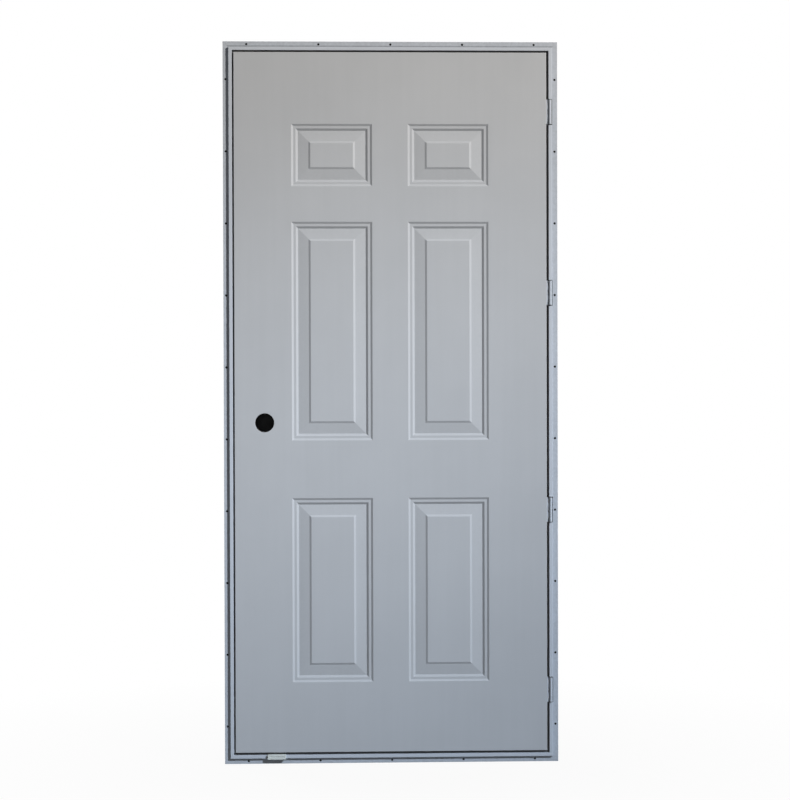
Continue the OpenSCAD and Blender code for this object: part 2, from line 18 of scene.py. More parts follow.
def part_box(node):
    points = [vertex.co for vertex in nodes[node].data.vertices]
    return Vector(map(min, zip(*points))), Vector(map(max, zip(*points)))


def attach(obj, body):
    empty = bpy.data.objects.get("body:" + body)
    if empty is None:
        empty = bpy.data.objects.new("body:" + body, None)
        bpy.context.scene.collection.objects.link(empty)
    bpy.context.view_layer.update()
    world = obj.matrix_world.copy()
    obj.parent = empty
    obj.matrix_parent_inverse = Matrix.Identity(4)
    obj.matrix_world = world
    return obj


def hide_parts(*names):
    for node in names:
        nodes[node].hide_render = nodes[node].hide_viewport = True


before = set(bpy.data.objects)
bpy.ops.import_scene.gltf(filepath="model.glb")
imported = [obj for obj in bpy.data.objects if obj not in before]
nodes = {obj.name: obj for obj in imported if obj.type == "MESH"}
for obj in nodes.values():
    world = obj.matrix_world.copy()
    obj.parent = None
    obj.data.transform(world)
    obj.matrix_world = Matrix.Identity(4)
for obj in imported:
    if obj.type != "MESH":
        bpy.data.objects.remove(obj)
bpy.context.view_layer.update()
scene = bpy.context.scene

# %% [markdown]
# ## Camera
#
# The photograph was taken from about six metres away, a little to the left of the door's
# middle and just above half its height. A long lens keeps the upright edges almost parallel.
# The place and the turn come from straight lines of the frame and the panels, whose places
# are known in metres.

# %% Place the camera
LENS_LENGTH = 94.987
SENSOR_WIDTH = 36
CAMERA_PLACE = (-0.2072, -6.0, 1.1072)
CAMERA_TURN = math.radians(-2.081)
CAMERA_NOD = math.radians(-0.706)
CAMERA_ROLL = math.radians(0.152)
QUARTER_TURN = math.radians(90)
lens = bpy.data.cameras.new("camera")
lens.lens = LENS_LENGTH
lens.sensor_width = SENSOR_WIDTH
camera = bpy.data.objects.new("camera", lens)
camera.matrix_world = (
    Matrix.Translation(CAMERA_PLACE)
    @ Matrix.Rotation(CAMERA_TURN, 4, "Z")
    @ Matrix.Rotation(CAMERA_NOD, 4, "X")
    @ Matrix.Rotation(CAMERA_ROLL, 4, "Y")
    @ Matrix.Rotation(QUARTER_TURN, 4, "X")
)
scene.collection.objects.link(camera)
scene.camera = camera
scene.view_settings.view_transform = "Standard"
print("Camera at", [round(c, 3) for c in camera.matrix_world.translation])

# %% [markdown]
# ## Light
#
# Two lamps in one place at the upper right give most of the light, with crisp shadows beside
# the ribs and bright and dark sides of the mouldings. The warm one is aimed high and the cool
# one low, and both have wide soft edges, so the door is brightest at half height and its foot
# looks cooler than its head. A wide soft lamp behind the door lights the room side, and none of
# its light comes through to the front. All are kept at a plain level, at which a colour renders
# about as it is written.

# %% Lamps
def lamp(name, kind, power, colour, place, aim, **settings):
    data = bpy.data.lights.new(name, kind)
    data.energy = power
    data.color = colour
    for label, value in settings.items():
        setattr(data, label, value)
    made = bpy.data.objects.new(name, data)
    made.location = place
    made.rotation_euler = (Vector(aim) - Vector(place)).to_track_quat("-Z", "Y").to_euler()
    made.visible_camera = False
    scene.collection.objects.link(made)


HIGH_RIGHT = (6.6, -6.9, 6.2)
SOFT_EDGE = {"spot_blend": 1.0, "shadow_soft_size": 0.35}
lamp(
    "warm_key", "SPOT", power=5464, colour=(1.0, 0.922, 0.846),
    place=HIGH_RIGHT, aim=(0.254, 0, 3.2), spot_size=math.radians(33.6), **SOFT_EDGE,
)
lamp(
    "cool_key", "SPOT", power=5331, colour=(0.79, 0.877, 1.0),
    place=HIGH_RIGHT, aim=(-0.927, 0, -0.439), spot_size=math.radians(20.4), **SOFT_EDGE,
)
lamp(
    "room_key", "AREA", power=920, colour=(1.0, 0.97, 0.94),
    place=(-5.0, 6.5, 5.5), aim=(0, 0, 1.0), size=1.2,
)
print("Lamps:", len(bpy.data.lights))

# %% [markdown]
# The world lights the door softly and evenly, but a ray that comes from the camera sees plain
# white, and so does a mirror reflection. A Light Path node tells these rays apart. The floor
# does the same, so that it melts into the background and still takes a faint shadow.

# %% A helper that adds a node with its values and links
def add(tree, kind, inputs, **settings):
    made = tree.nodes.new(kind)
    for label, value in settings.items():
        setattr(made, label, value)
    for label, value in inputs.items():
        if isinstance(value, bpy.types.NodeSocket):
            tree.links.new(value, made.inputs[label])
        else:
            made.inputs[label].default_value = value
    return made


def seen_rays(tree):
    path = add(tree, "ShaderNodeLightPath", {})
    mirror = add(
        tree, "ShaderNodeMath",
        {0: path.outputs["Is Glossy Ray"], 1: path.outputs["Is Transmission Ray"]},
        operation="MAXIMUM",
    )
    both = add(
        tree, "ShaderNodeMath",
        {0: path.outputs["Is Camera Ray"], 1: mirror.outputs[0]}, operation="MAXIMUM",
    )
    return both.outputs[0]


# %% World
world = bpy.data.worlds.new("studio")
world.use_nodes = True
scene.world = world
sky = world.node_tree
soft = sky.nodes["Background"]
soft.inputs["Color"].default_value = (1.0, 0.95, 0.93, 1)
soft.inputs["Strength"].default_value = 0.12
plain_white = add(sky, "ShaderNodeBackground", {"Color": (1, 1, 1, 1), "Strength": 1.0})
mixed = add(
    sky, "ShaderNodeMixShader",
    {0: seen_rays(sky), 1: soft.outputs[0], 2: plain_white.outputs[0]},
)
sky.links.new(mixed.outputs[0], sky.nodes["World Output"].inputs["Surface"])
print("World: soft light", soft.inputs["Strength"].default_value, "and a white background")

# %% Floor
FLOOR_HALF = 6
floor_mesh = bmesh.new()
bmesh.ops.create_grid(floor_mesh, x_segments=4, y_segments=4, size=FLOOR_HALF)
floor_data = bpy.data.meshes.new("floor")
floor_mesh.to_mesh(floor_data)
floor_mesh.free()
floor = bpy.data.objects.new("floor", floor_data)
scene.collection.objects.link(floor)

floor_paint = bpy.data.materials.new("pale_floor")
floor_paint.use_nodes = True
tree = floor_paint.node_tree
matt = tree.nodes["Principled BSDF"]
matt.inputs["Base Color"].default_value = (0.06, 0.06, 0.062, 1)
matt.inputs["Roughness"].default_value = 0.9
place = add(tree, "ShaderNodeTexCoord", {})
reach = add(tree, "ShaderNodeVectorMath", {0: place.outputs["Object"]}, operation="LENGTH")
share = add(
    tree, "ShaderNodeMapRange",
    {"Value": reach.outputs["Value"], "From Min": 0.3, "From Max": 1.8,
     "To Min": 0.95, "To Max": 1.0},
)
white_share = add(
    tree, "ShaderNodeMath", {0: seen_rays(tree), 1: share.outputs[0]}, operation="MULTIPLY"
)
glow = add(tree, "ShaderNodeEmission", {"Color": (1, 1, 1, 1), "Strength": 1.0})
mixed = add(
    tree, "ShaderNodeMixShader",
    {0: white_share.outputs[0], 1: matt.outputs[0], 2: glow.outputs[0]},
)
tree.links.new(mixed.outputs[0], tree.nodes["Material Output"].inputs["Surface"])
floor_data.materials.append(floor_paint)
print("Floor:", floor.dimensions[:2], "m")

# %% [markdown]
# ## Finishes
#
# Every finish takes its colour, roughness and fine relief from a node group that reads Object
# coordinates, so the pattern has its real size in metres and stays with the piece. A group is
# built once and used by each material with its own values. Numbers that don't change over the
# surface are set on the Principled shader itself.

# %% Helpers for a node group and for a material that uses it
def new_group(name, inputs):
    tree = bpy.data.node_groups.new(name, "ShaderNodeTree")
    for label, value in inputs.items():
        kinds = {float: "NodeSocketFloat", tuple: "NodeSocketVector", list: "NodeSocketColor"}
        socket = tree.interface.new_socket(label, in_out="INPUT", socket_type=kinds[type(value)])
        socket.default_value = value
    for label, kind in (("Colour", "Color"), ("Roughness", "Float"), ("Height", "Float")):
        tree.interface.new_socket(label, in_out="OUTPUT", socket_type="NodeSocket" + kind)
    given = tree.nodes.new("NodeGroupInput").outputs
    result = tree.nodes.new("NodeGroupOutput").inputs
    spot = add(tree, "ShaderNodeTexCoord", {}).outputs["Object"]
    return tree, given, result, spot


def ranged(tree, value, low, high, start=0.3, stop=0.7):
    made = add(
        tree, "ShaderNodeMapRange",
        {"Value": value, "From Min": start, "From Max": stop, "To Min": low, "To Max": high},
    )
    return made.outputs[0]


def finish(name, group, values, relief, **sockets):
    material = bpy.data.materials.new(name)
    material.use_nodes = True
    tree = material.node_tree
    shader = tree.nodes["Principled BSDF"]
    made = add(tree, "ShaderNodeGroup", values, node_tree=group)
    bump = add(
        tree, "ShaderNodeBump",
        {"Strength": 1.0, "Distance": relief, "Height": made.outputs["Height"]},
    )
    tree.links.new(made.outputs["Colour"], shader.inputs["Base Color"])
    tree.links.new(made.outputs["Roughness"], shader.inputs["Roughness"])
    tree.links.new(bump.outputs["Normal"], shader.inputs["Normal"])
    for label, value in sockets.items():
        shader.inputs[label.replace("_", " ")].default_value = value
    print("Finish:", name)
    return material


# %% [markdown]
# ### Paint
#
# Sprayed satin paint isn't quite even. It has soft clouds a hand wide, faint upright streaks
# where it was wiped, and an orange-peel skin about two millimetres from bump to bump. The
# paint is darker the deeper it lies behind the face, which is partly dust in the grooves of
# the mouldings and partly painted shade in these recesses. A thin dark line on the fin at the
# foot of the head's rib, at the height of the ledge, is painted shade in that corner.

# %% Paint film
paint_film, given, result, spot = new_group(
    "paint_film",
    {"Paint": [0.5, 0.5, 0.5, 1.0], "Clouds": 0.03, "Streaks": 0.02,
     "Face": 0.0, "Inwards": 1.0, "Dust And Shade": 0.0, "Ledge": 0.0, "Ledge Shade": 0.0},
)
clouds = add(
    paint_film, "ShaderNodeTexNoise",
    {"Vector": spot, "Scale": 4.5, "Detail": 4.0, "Roughness": 0.6},
)
stretch = add(paint_film, "ShaderNodeMapping", {"Vector": spot, "Scale": (55, 55, 2.2)})
streaks = add(
    paint_film, "ShaderNodeTexNoise",
    {"Vector": stretch.outputs[0], "Scale": 1.0, "Detail": 3.0},
)
peel = add(paint_film, "ShaderNodeTexNoise", {"Vector": spot, "Scale": 480.0, "Detail": 1.0})
specks = add(paint_film, "ShaderNodeTexNoise", {"Vector": spot, "Scale": 130.0, "Detail": 3.0})
cloud_part = add(
    paint_film, "ShaderNodeMath",
    {0: ranged(paint_film, clouds.outputs[0], -1, 1), 1: given["Clouds"]}, operation="MULTIPLY",
)
streak_part = add(
    paint_film, "ShaderNodeMath",
    {0: ranged(paint_film, streaks.outputs[0], -1, 1), 1: given["Streaks"],
     2: cloud_part.outputs[0]},
    operation="MULTIPLY_ADD",
)
print("Paint film: clouds, streaks, peel and specks")

# %% Painted shade and dust with depth, and painted shade at the ledge
# Darker with depth behind the face: partly dust, partly painted shade in the recesses
GROOVE_START, GROOVE_END = 0.0028, 0.0085
LEDGE_CORE, LEDGE_REACH = 0.001, 0.0035
axes = add(paint_film, "ShaderNodeSeparateXYZ", {0: spot})
behind = add(
    paint_film, "ShaderNodeMath", {0: axes.outputs["Y"], 1: given["Face"]}, operation="SUBTRACT"
)
depth = add(
    paint_film, "ShaderNodeMath", {0: behind.outputs[0], 1: given["Inwards"]}, operation="MULTIPLY"
)
groove = add(
    paint_film, "ShaderNodeMath",
    {0: ranged(paint_film, depth.outputs[0], 0, 1, GROOVE_START, GROOVE_END),
     1: ranged(paint_film, specks.outputs[0], 0.4, 1)},
    operation="MULTIPLY",
)
dust_and_shade_part = add(
    paint_film, "ShaderNodeMath", {0: groove.outputs[0], 1: given["Dust And Shade"]}, operation="MULTIPLY"
)
# Painted shade: a thin dark line on the fin at the foot of the head's rib, in the corner where
# shade falls
above = add(
    paint_film, "ShaderNodeMath", {0: axes.outputs["Z"], 1: given["Ledge"]}, operation="SUBTRACT"
)
beside = add(paint_film, "ShaderNodeMath", {0: above.outputs[0]}, operation="ABSOLUTE")
ledge_part = add(
    paint_film, "ShaderNodeMath",
    {0: ranged(paint_film, beside.outputs[0], 1, 0, LEDGE_CORE, LEDGE_REACH),
     1: given["Ledge Shade"], 2: dust_and_shade_part.outputs[0]},
    operation="MULTIPLY_ADD",
)
lift = add(
    paint_film, "ShaderNodeMath",
    {0: streak_part.outputs[0], 1: ledge_part.outputs[0]}, operation="SUBTRACT",
)
shade = add(paint_film, "ShaderNodeMath", {0: lift.outputs[0], 1: 1.0}, operation="ADD")
tinted = add(
    paint_film, "ShaderNodeVectorMath",
    {0: given["Paint"], "Scale": shade.outputs[0]}, operation="SCALE",
)
paint_film.links.new(tinted.outputs["Vector"], result["Colour"])
paint_film.links.new(ranged(paint_film, clouds.outputs[0], 0.42, 0.54), result["Roughness"])
paint_film.links.new(peel.outputs[0], result["Height"])
print("Paint film:", len(paint_film.nodes), "nodes")

# %% Paints of the leaf, the frame and the hinges
LEAF_PAINT = [0.405, 0.43, 0.455, 1.0]
FRAME_PAINT = [0.446, 0.493, 0.552, 1.0]
RIB_FACE = -0.010
BARREL_FACE = -0.016
LEDGE_HEIGHT = 2.0362
leaf_low, leaf_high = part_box("outer_skin")
room_low, room_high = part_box("inner_skin")
# Dust And Shade darkens recessed paint: some dust, some painted shade in the grooves and on the
# fin behind the rib
leaf_film = {"Paint": LEAF_PAINT, "Clouds": 0.018, "Streaks": 0.010, "Dust And Shade": 0.06}
frame_film = {
    "Paint": FRAME_PAINT, "Clouds": 0.03, "Streaks": 0.015, "Dust And Shade": 0.20,
    "Face": RIB_FACE, "Inwards": 1.0,
}
leaf_outside = finish(
    "leaf_outside", paint_film, {**leaf_film, "Face": leaf_low.y, "Inwards": 1.0},
    relief=0.00003, Specular_IOR_Level=0.4,
)
leaf_inside = finish(
    "leaf_inside", paint_film, {**leaf_film, "Face": room_high.y, "Inwards": -1.0},
    relief=0.00003, Specular_IOR_Level=0.4,
)
frame_paint = finish(
    "frame_paint", paint_film, frame_film, relief=0.00003, Specular_IOR_Level=0.45
)
# The head's paint adds the painted shade line at the foot of its rib
head_paint = finish(
    "head_paint", paint_film, {**frame_film, "Ledge": LEDGE_HEIGHT, "Ledge Shade": 0.36},
    relief=0.00003, Specular_IOR_Level=0.45,
)
hinge_paint = finish(
    "hinge_paint", paint_film,
    {"Paint": FRAME_PAINT, "Clouds": 0.05, "Streaks": 0.03, "Dust And Shade": 0.08,
     "Face": BARREL_FACE, "Inwards": 1.0},
    relief=0.00002, Specular_IOR_Level=0.5,
)

# %% [markdown]
# ### Timber
#
# The leaf's edges are planed softwood. Its grain is one noise that is stretched along the
# length of the board, in wide bands for the year rings and in fine lines for the fibres. The
# stretch is an input of the group, because the stiles stand upright and the rails lie across.

# %% Timber grain
timber_grain, given, result, spot = new_group(
    "timber_grain",
    {"Stretch": (22.0, 22.0, 1.1),
     "Early": [0.56, 0.36, 0.18, 1.0], "Late": [0.33, 0.17, 0.07, 1.0]},
)
along = add(timber_grain, "ShaderNodeMapping", {"Vector": spot, "Scale": given["Stretch"]})
rings = add(
    timber_grain, "ShaderNodeTexNoise",
    {"Vector": along.outputs[0], "Scale": 3.0, "Detail": 3.0, "Distortion": 0.5},
)
RING_COUNT = 26.0
bands = add(
    timber_grain, "ShaderNodeMath", {0: rings.outputs[0], 1: RING_COUNT}, operation="MULTIPLY"
)
wave = add(timber_grain, "ShaderNodeMath", {0: bands.outputs[0]}, operation="SINE")
fibres = add(
    timber_grain, "ShaderNodeTexNoise", {"Vector": along.outputs[0], "Scale": 30.0, "Detail": 4.0}
)
blend = add(
    timber_grain, "ShaderNodeMath",
    {0: ranged(timber_grain, wave.outputs[0], 0, 0.6, -1, 1),
     1: ranged(timber_grain, fibres.outputs[0], 0, 0.4)},
    operation="ADD",
)
# A Mix node has sockets for each kind of data: 6 and 7 are its colours, and 2 is their mix
board = add(
    timber_grain, "ShaderNodeMix",
    {0: blend.outputs[0], 6: given["Early"], 7: given["Late"]}, data_type="RGBA",
)
timber_grain.links.new(board.outputs[2], result["Colour"])
timber_grain.links.new(ranged(timber_grain, fibres.outputs[0], 0.55, 0.72), result["Roughness"])
timber_grain.links.new(fibres.outputs[0], result["Height"])
timber_upright = finish(
    "timber_upright", timber_grain, {"Stretch": (22, 22, 1.1)},
    relief=0.0002, Specular_IOR_Level=0.3,
)
timber_across = finish(
    "timber_across", timber_grain, {"Stretch": (1.1, 22, 22)},
    relief=0.0002, Specular_IOR_Level=0.3,
)

# %% [markdown]
# ### Plastic, rubber and foam
#
# Moulded plastic, extruded rubber and foam all show a fine even grain, only at different
# sizes. One group makes them: a small noise for the grain and a larger one for the clouds.

# %% Fine grain
fine_grain, given, result, spot = new_group(
    "fine_grain", {"Body": [0.5, 0.5, 0.5, 1.0], "Grain": 900.0, "Contrast": 0.1, "Roughness": 0.5}
)
grain = add(
    fine_grain, "ShaderNodeTexNoise", {"Vector": spot, "Scale": given["Grain"], "Detail": 2.0}
)
patches = add(fine_grain, "ShaderNodeTexNoise", {"Vector": spot, "Scale": 35.0, "Detail": 3.0})
both = add(
    fine_grain, "ShaderNodeMath", {0: grain.outputs[0], 1: patches.outputs[0]}, operation="ADD"
)
swing = add(
    fine_grain, "ShaderNodeMath",
    {0: ranged(fine_grain, both.outputs[0], -1, 1, 0.7, 1.3), 1: given["Contrast"], 2: 1.0},
    operation="MULTIPLY_ADD",
)
toned = add(
    fine_grain, "ShaderNodeVectorMath",
    {0: given["Body"], "Scale": swing.outputs[0]}, operation="SCALE",
)
dull = add(
    fine_grain, "ShaderNodeMath",
    {0: ranged(fine_grain, patches.outputs[0], -0.06, 0.06), 1: given["Roughness"]},
    operation="ADD",
)
fine_grain.links.new(toned.outputs["Vector"], result["Colour"])
fine_grain.links.new(dull.outputs[0], result["Roughness"])
fine_grain.links.new(grain.outputs[0], result["Height"])
print("Fine grain:", len(fine_grain.nodes), "nodes")

# %% Plastics, rubber, tape and foam
clip_plastic = finish(
    "clip_plastic", fine_grain,
    {"Body": [0.58, 0.62, 0.60, 1], "Grain": 1400.0, "Contrast": 0.06, "Roughness": 0.42},
    relief=0.00002,
)
# Near-black, so the lock hole reads as shade inside: painted shade
cover_plastic = finish(
    "cover_plastic", fine_grain,
    {"Body": [0.005, 0.005, 0.0055, 1], "Grain": 1600.0, "Contrast": 0.15, "Roughness": 0.6},
    relief=0.00003, Specular_IOR_Level=0.2,
)
seal_rubber = finish(
    "seal_rubber", fine_grain,
    {"Body": [0.065, 0.066, 0.070, 1], "Grain": 1100.0, "Contrast": 0.2, "Roughness": 0.72},
    relief=0.00003,
)
# Near-black butyl for the tape and the plugs, which stand in for shade in holes and gaps: painted
# shade
shade_tape_butyl = finish(
    "shade_tape_butyl", fine_grain,
    {"Body": [0.006, 0.006, 0.0065, 1], "Grain": 600.0, "Contrast": 0.25, "Roughness": 0.8},
    relief=0.00006, Specular_IOR_Level=0.2,
)
foam_cells = finish(
    "foam_cells", fine_grain,
    {"Body": [0.70, 0.58, 0.28, 1], "Grain": 420.0, "Contrast": 0.2, "Roughness": 0.85},
    relief=0.0004,
)

# %% [markdown]
# ### Bare metal
#
# The pins and screws are zinc plated, and the corner keys are cast. Plating shows small pale
# crystals, which a Voronoi texture gives, and fine scratches in the direction it was drawn.

# %% Plated and cast metal
plated, given, result, spot = new_group(
    "plated", {"Metal": [0.6, 0.6, 0.6, 1.0], "Crystals": 500.0}
)
crystals = add(plated, "ShaderNodeTexVoronoi", {"Vector": spot, "Scale": given["Crystals"]})
haze = add(plated, "ShaderNodeTexNoise", {"Vector": spot, "Scale": 90.0, "Detail": 4.0})
scratches_at = add(plated, "ShaderNodeMapping", {"Vector": spot, "Scale": (3000, 3000, 120)})
scratches = add(
    plated, "ShaderNodeTexNoise",
    {"Vector": scratches_at.outputs[0], "Scale": 1.0, "Detail": 2.0},
)
tone = add(
    plated, "ShaderNodeMath",
    {0: ranged(plated, crystals.outputs["Distance"], 1.08, 0.9, 0, 0.8),
     1: ranged(plated, haze.outputs[0], 0.88, 1.05)},
    operation="MULTIPLY",
)
bright = add(
    plated, "ShaderNodeVectorMath",
    {0: given["Metal"], "Scale": tone.outputs[0]}, operation="SCALE",
)
plated.links.new(bright.outputs["Vector"], result["Colour"])
plated.links.new(ranged(plated, haze.outputs[0], 0.3, 0.5), result["Roughness"])
plated.links.new(scratches.outputs[0], result["Height"])
zinc = finish(
    "zinc", plated, {"Metal": [0.62, 0.63, 0.64, 1], "Crystals": 700.0},
    relief=0.00001, Metallic=1.0,
)
cast_key = finish(
    "cast_key", plated, {"Metal": [0.58, 0.58, 0.6, 1], "Crystals": 260.0},
    relief=0.00005, Metallic=1.0,
)

# %% [markdown]
# ## Pieces that keep their CAD mesh
#
# Timber edges, foam, corner keys and hinge pins are plain machined shapes that the CAD mesh
# shows as they are. They only take a finish in their material slot.

# %% Dress the CAD nodes
dressed = {
    "latch_stile": timber_upright, "hinge_stile": timber_upright, "lock_block": timber_upright,
    "top_rail": timber_across, "bottom_rail": timber_across, "foam_core": foam_cells,
    "head_latch_key": cast_key, "head_hinge_key": cast_key,
    "sill_latch_key": cast_key, "sill_hinge_key": cast_key,
    "hinge_1_pin": zinc, "hinge_2_pin": zinc, "hinge_3_pin": zinc, "hinge_4_pin": zinc,
}
for name, material in dressed.items():
    nodes[name].material_slots[0].material = material
print("Dressed nodes:", len(dressed))

# %% [markdown]
# ## Extrusions, hinges and seals
#
# The frame's sides, the hinge leaves and the seals have the right shape, but their meshes are
# loose triangles. A copy of each has these merged and its flat faces joined again. On the frame
# and the hinges a small Bevel modifier also breaks the edges, as a file or a coat of paint
# does. The Weighted Normal modifier keeps the wide faces flat in the light.

# %% A helper that turns a bmesh into a finished piece
SHARP_ANGLE = math.radians(40)


def piece(name, bm, body, material, wall=0.0, broken_edge=0.0):
    mesh = bpy.data.meshes.new(name)
    bm.to_mesh(mesh)
    bm.free()
    mesh.shade_smooth()
    mesh.set_sharp_from_angle(angle=SHARP_ANGLE)
    mesh.materials.append(material)
    made = bpy.data.objects.new(name, mesh)
    scene.collection.objects.link(made)
    if wall:
        sheet = made.modifiers.new("sheet_wall", "SOLIDIFY")
        sheet.thickness = wall
        sheet.offset = -1
        sheet.use_even_offset = True
    if broken_edge:
        edge = made.modifiers.new("broken_edge", "BEVEL")
        edge.width = broken_edge
        edge.segments = 2
        edge.limit_method = "ANGLE"
        edge.angle_limit = SHARP_ANGLE
    even = made.modifiers.new("even_light", "WEIGHTED_NORMAL")
    even.keep_sharp = True
    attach(made, body)
    print(name + ":", len(mesh.polygons), "faces")
    return made


# %% A helper that copies a CAD mesh and joins its triangles
SAME_POINT = 1e-6
SAME_PLANE = math.radians(0.5)


def merged_copy(node):
    bm = bmesh.new()
    bm.from_mesh(nodes[node].data)
    # The normals that are stored with the loose triangles don't fit the joined faces
    for layer in list(bm.loops.layers.float_vector.values()):
        bm.loops.layers.float_vector.remove(layer)
    bmesh.ops.remove_doubles(bm, verts=bm.verts, dist=SAME_POINT)
    bmesh.ops.dissolve_limit(bm, angle_limit=SAME_PLANE, verts=bm.verts, edges=bm.edges)
    return bm


# %% Frame, hinges and seals
HINGES = (1, 2, 3, 4)
FILED = 0.0002
for side in ("frame_head", "frame_sill", "latch_jamb", "hinge_jamb"):
    paint = head_paint if side == "frame_head" else frame_paint
    made = piece(
        side + "_painted", merged_copy(side), "frame", paint, broken_edge=FILED
    )
    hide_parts(side)
for i in HINGES:
    for part, body in (("_frame_leaf", "frame"), ("_leaf", "leaf")):
        node = "hinge_" + str(i) + part
        made = piece(
            node + "_painted", merged_copy(node), body, hinge_paint,
            broken_edge=FILED,
        )
        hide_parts(node)
for side in ("seal_head", "seal_sill", "seal_latch", "seal_hinge"):
    made = piece(side + "_rubber", merged_copy(side), "frame", seal_rubber)
    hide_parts(side)

# %% [markdown]
# ## Pressed skins
#
# A press forms the six panels from one flat sheet. Here too the skin starts as one flat face:
# it is cut along the panels' edges, and each panel is inset five times, down the outer step,
# along the bead, down into the groove, up the long bevel and up to the raised field. Bevelled
# edges give the sheet its bends, and Solidify its thickness.

# %% Sizes of the panels and of the moulding
LATCH_MARGIN, HINGE_MARGIN, MULLION = 0.1629, 0.1655, 0.1014
BOTTOM_MARGIN, LOCK_RAIL, CROSS_RAIL, TOP_MARGIN = 0.1998, 0.164, 0.1009, 0.2031
LOW_PANEL, TOP_PANEL = 0.5228, 0.176
LEAF_WIDTH = leaf_high.x - leaf_low.x
PANEL_WIDTH = (LEAF_WIDTH - LATCH_MARGIN - HINGE_MARGIN - MULLION) / 2
left = leaf_low.x + LATCH_MARGIN
right = leaf_high.x - HINGE_MARGIN
PANEL_COLUMNS = ((left, left + PANEL_WIDTH), (right - PANEL_WIDTH, right))
low_row = leaf_low.z + BOTTOM_MARGIN
mid_row = low_row + LOW_PANEL + LOCK_RAIL
top_row = leaf_high.z - TOP_MARGIN - TOP_PANEL
PANEL_ROWS = (
    (low_row, low_row + LOW_PANEL),
    (mid_row, top_row - CROSS_RAIL),
    (top_row, top_row + TOP_PANEL),
)
# Width and rise of each stretch of the moulding, from the panel's edge inwards
MOULDING = ((0.0055, -0.0035), (0.007, 0.0), (0.006, -0.0043), (0.03, 0.0036), (0.0055, 0.003))
PRESS_BEND = 0.0007
PRESS_ANGLE = math.radians(3)
print("Panel columns:", PANEL_COLUMNS, "rows:", PANEL_ROWS)


# %% Cut a flat sheet and press its panels
def cut(bm, faces, point, direction):
    geometry = set(faces)
    for face in faces:
        geometry.update(face.edges)
        geometry.update(face.verts)
    bmesh.ops.bisect_plane(bm, geom=list(geometry), plane_co=point, plane_no=direction)


def soften(bm, edges, radius, segments):
    bmesh.ops.bevel(
        bm, geom=list(edges), offset=radius, offset_type="OFFSET", segments=segments, profile=0.5,
        affect="EDGES", clamp_overlap=True, material=-1,
    )


def pressed_sheet(low, high, face_y, outwards):
    bm = bmesh.new()
    bmesh.ops.create_grid(bm, x_segments=1, y_segments=1, size=0.5)
    middle = (low + high) / 2
    stand = (
        Matrix.Translation((middle.x, face_y, middle.z))
        @ Matrix.Diagonal((high.x - low.x, 1, high.z - low.z, 1))
        @ Matrix.Rotation(-QUARTER_TURN * outwards, 4, "X")
    )
    bmesh.ops.transform(bm, matrix=stand, verts=bm.verts)
    for column in PANEL_COLUMNS:
        for x in column:
            cut(bm, list(bm.faces), (x, 0, 0), (1, 0, 0))
    for row in PANEL_ROWS:
        for z in row:
            cut(bm, list(bm.faces), (0, 0, z), (0, 0, 1))
    panels = []
    for face in bm.faces:
        at = face.calc_center_median()
        across = any(a < at.x < b for a, b in PANEL_COLUMNS)
        if across and any(a < at.z < b for a, b in PANEL_ROWS):
            panels.append(face)
    for width, rise in MOULDING:
        bmesh.ops.inset_individual(
            bm, faces=panels, thickness=width, depth=rise, use_even_offset=True
        )
    bends = [e for e in bm.edges if e.is_manifold and e.calc_face_angle() > PRESS_ANGLE]
    soften(bm, bends, PRESS_BEND, 3)
    return bm


# %% Punch the lock hole
LIP, BACKSET, LOCK_HEIGHT = 0.0153, 0.0702, 0.9369
LOCK_X = leaf_low.x + LIP + BACKSET
LOCK_Z = leaf_low.z + LOCK_HEIGHT
LOCK_RADIUS = 0.027
HOLE_BORDER = 0.006
HOLE_CUTS = 11
NEAR_LOCK = 0.001


def faces_over_lock(bm, reach):
    found = []
    for face in bm.faces:
        heights = [v.co.z for v in face.verts]
        near = abs(face.calc_center_median().x - LOCK_X) < reach
        if near and min(heights) < LOCK_Z < max(heights):
            found.append(face)
    return found


def punch_lock_hole(bm, face_y):
    half = LOCK_RADIUS + HOLE_BORDER
    past_corners = 1.5 * half
    centre = Vector((LOCK_X, face_y, LOCK_Z))
    for x in (LOCK_X - half, LOCK_X + half):
        cut(bm, faces_over_lock(bm, LOCK_X - leaf_low.x), (x, 0, 0), (1, 0, 0))
    for z in (LOCK_Z - half, LOCK_Z + half):
        cut(bm, faces_over_lock(bm, NEAR_LOCK), (0, 0, z), (0, 0, 1))
    square = faces_over_lock(bm, NEAR_LOCK)[0]
    sides = list(square.edges)
    bmesh.ops.delete(bm, geom=[square], context="FACES_ONLY")
    bmesh.ops.subdivide_edges(bm, edges=sides, cuts=HOLE_CUTS)
    open_edges = [e for e in bm.edges if e.is_boundary]
    around = [
        e for e in open_edges if all((v.co - centre).length < past_corners for v in e.verts)
    ]
    made = bmesh.ops.extrude_edge_only(bm, edges=around)["geom"]
    for vert in (g for g in made if isinstance(g, bmesh.types.BMVert)):
        vert.co = centre + (vert.co - centre).normalized() * LOCK_RADIUS
    print("Lock hole:", len(around), "sides")


# %% Fold the edges
ON_LINE = 1e-5
FOLD_BEND = 0.0016


def fold_edges(bm, low, high, outwards, fold):
    def on_outline(v):
        beside = min(abs(v.co.x - low.x), abs(v.co.x - high.x))
        above = min(abs(v.co.z - low.z), abs(v.co.z - high.z))
        return min(beside, above) < ON_LINE

    outline = [e for e in bm.edges if e.is_boundary and all(on_outline(v) for v in e.verts)]
    folded = bmesh.ops.extrude_edge_only(bm, edges=outline)["geom"]
    verts = [g for g in folded if isinstance(g, bmesh.types.BMVert)]
    bmesh.ops.translate(bm, verts=verts, vec=(0, -outwards * fold, 0))
    bmesh.ops.recalc_face_normals(bm, faces=bm.faces)
    widest = max(bm.faces, key=lambda f: f.calc_area())
    if widest.normal.y * outwards < 0:
        bmesh.ops.reverse_faces(bm, faces=bm.faces)
    soften(bm, [e for e in outline if e.is_valid], FOLD_BEND, 4)


